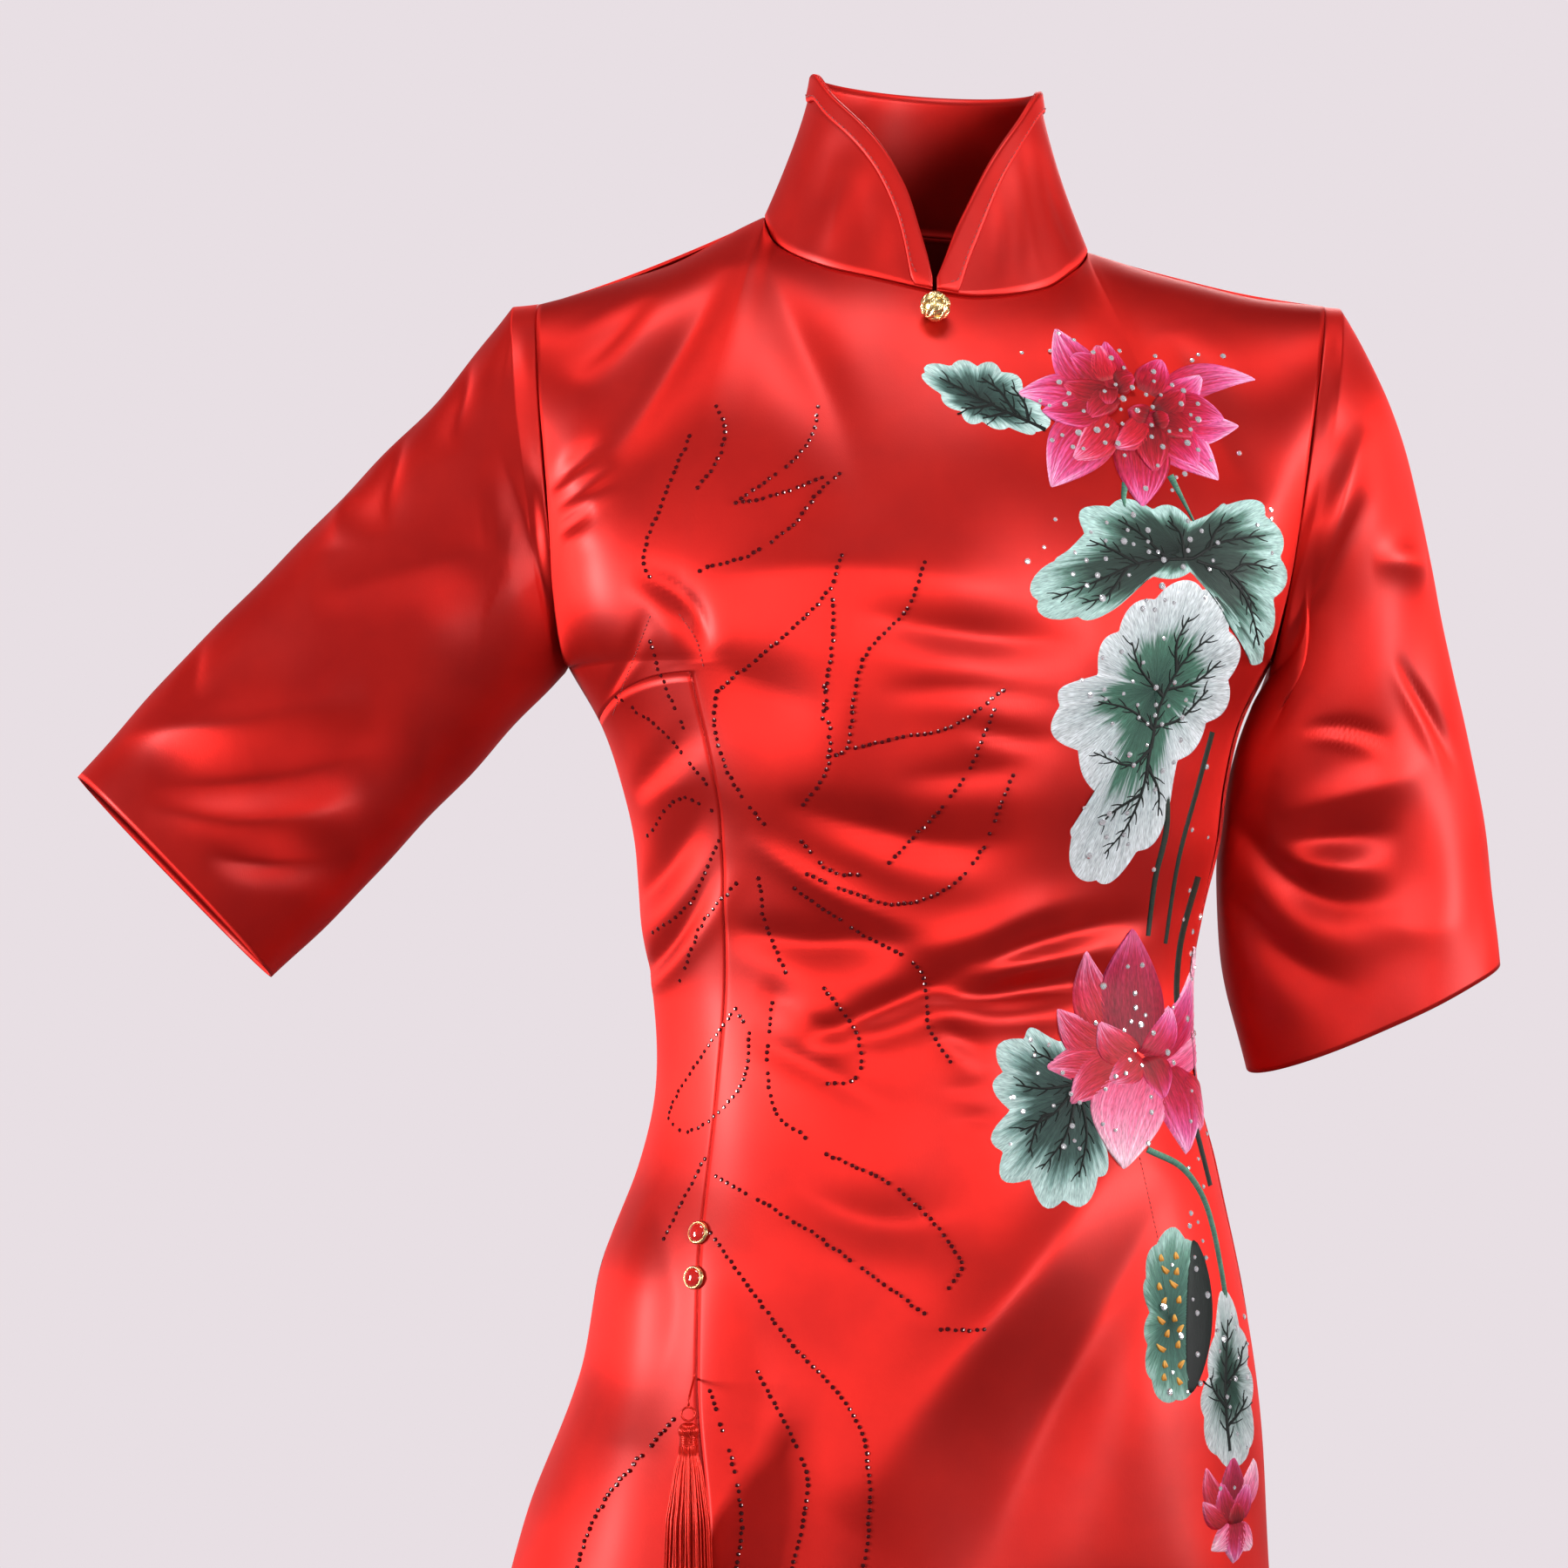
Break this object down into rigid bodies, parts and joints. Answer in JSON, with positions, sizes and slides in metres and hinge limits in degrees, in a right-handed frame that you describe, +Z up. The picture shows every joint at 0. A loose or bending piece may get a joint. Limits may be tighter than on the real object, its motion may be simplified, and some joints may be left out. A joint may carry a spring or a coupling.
{
  "type": "qipao wedding dress",
  "caption": "Worn red satin qipao wedding dress with V-front standing collar, elbow sleeves, side-front slit with tassel, lotus embroidery and stone scrolls.",
  "frame": {"origin": "between the two neck points of the shoulders, where the wearer carries the dress", "axes": "+Z up the body, -Y out of the front, +X towards the wearer's left"},
  "size_m": [0.705, 0.2839, 1.2388],
  "materials": {
    "satin": "heavy duchess satin, soft gloss",
    "silk_thread": "twisted silk, soft sheen",
    "embroidery": "long and short stitch in rayon thread",
    "gold_knot": "gilt woven knot",
    "gilt_bezel": "polished gilt",
    "red_cabochon": "polished translucent dome",
    "crystal": "faceted clear rhinestone",
    "garnet_crystal": "faceted dark red rhinestone"
  },
  "bodies": {
    "root": {"front_centre": "satin", "front_side_right": "satin", "back": "satin", "sleeve_right": "satin", "sleeve_left": "satin", "collar": "satin", "collar_binding": "satin", "neck_button": "gold_knot", "button_upper_bezel": "gilt_bezel", "button_upper_stone": "red_cabochon", "button_lower_bezel": "gilt_bezel", "button_lower_stone": "red_cabochon", "tassel_threads": "silk_thread", "tassel_wrap": "silk_thread", "tassel_loop": "silk_thread"}
  },
  "joints": []
}
